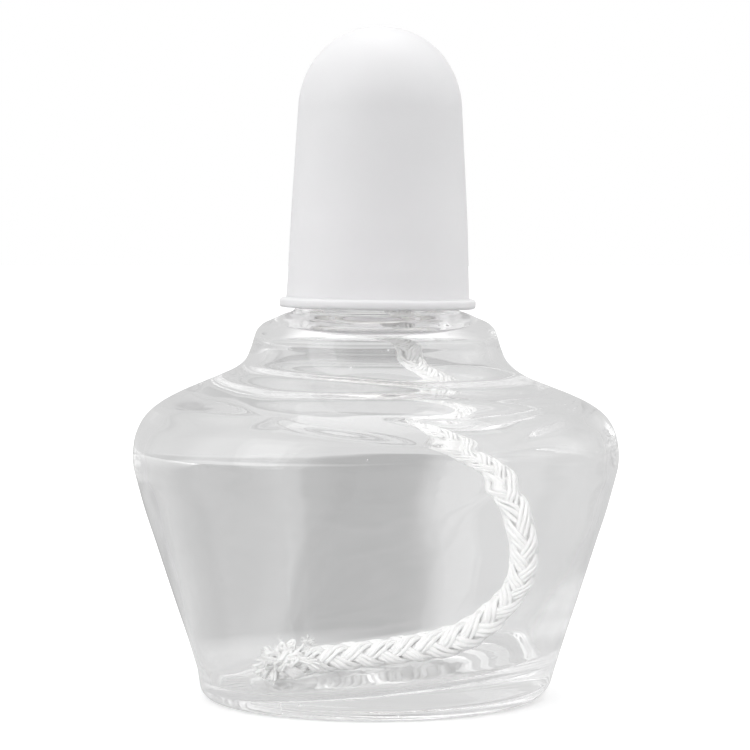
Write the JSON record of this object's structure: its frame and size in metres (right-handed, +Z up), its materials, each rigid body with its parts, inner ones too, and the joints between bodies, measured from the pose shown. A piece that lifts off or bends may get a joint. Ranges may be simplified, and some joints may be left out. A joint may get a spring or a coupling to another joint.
{
  "type": "alcohol burner",
  "caption": "Glass spirit lamp with a wide waisted reservoir, porcelain wick holder, braided cotton wick and a tall domed plastic snuffer cap.",
  "frame": {"origin": "centre of the standing ring, on the surface the lamp stands on", "axes": "+Z up along the lamp's axis; the wick's slack falls towards +X inside the reservoir"},
  "size_m": [0.084, 0.084, 0.1157],
  "materials": {
    "glass": "gloss",
    "porcelain": "gloss",
    "cap_plastic": "satin",
    "cotton": "matte"
  },
  "bodies": {
    "reservoir": {"glass_reservoir": "glass"},
    "holder": {"wick_holder": "porcelain"},
    "snuffer": {"cap": "cap_plastic"},
    "wick_burning_end": {"wick_tip": "cotton"},
    "wick_upper_length": {"wick_upper": "cotton"},
    "wick_middle_length": {"wick_bend": "cotton"},
    "wick_lower_length": {"wick_tail": "cotton"}
  },
  "joints": [
    {"name": "holder_lift", "type": "slide", "parent": "reservoir", "child": "holder", "axis": [0, 0, 1], "range_m": [0, 0.031]},
    {"name": "cap_lift", "type": "slide", "parent": "holder", "child": "snuffer", "axis": [0, 0, 1], "range_m": [0, 0.05]},
    {"name": "wick_feed", "type": "slide", "parent": "holder", "child": "wick_burning_end", "axis": [0, 0, 1], "range_m": [-0.003, 0.008]},
    {"name": "wick_neck_bend", "type": "hinge", "parent": "holder", "child": "wick_upper_length", "pos_m": [0, 0, 0.0732], "axis": [0, -1, 0], "range_deg": [-21.2, 0.4]},
    {"name": "wick_middle_bend", "type": "hinge", "parent": "wick_upper_length", "child": "wick_middle_length", "pos_m": [0.01691, 0, 0.0422], "axis": [0, -1, 0], "range_deg": [-0.4, 14.6]},
    {"name": "wick_floor_bend", "type": "hinge", "parent": "wick_middle_length", "child": "wick_lower_length", "pos_m": [0.02055, 0, 0.01266], "axis": [0, -1, 0], "range_deg": [-0.4, 45.8]}
  ],
  "couplings": [
    {"joint": "wick_neck_bend", "follows": "holder_lift", "rad_per_m": -11.703},
    {"joint": "wick_middle_bend", "follows": "holder_lift", "rad_per_m": 8.0157},
    {"joint": "wick_floor_bend", "follows": "holder_lift", "rad_per_m": 25.584}
  ]
}
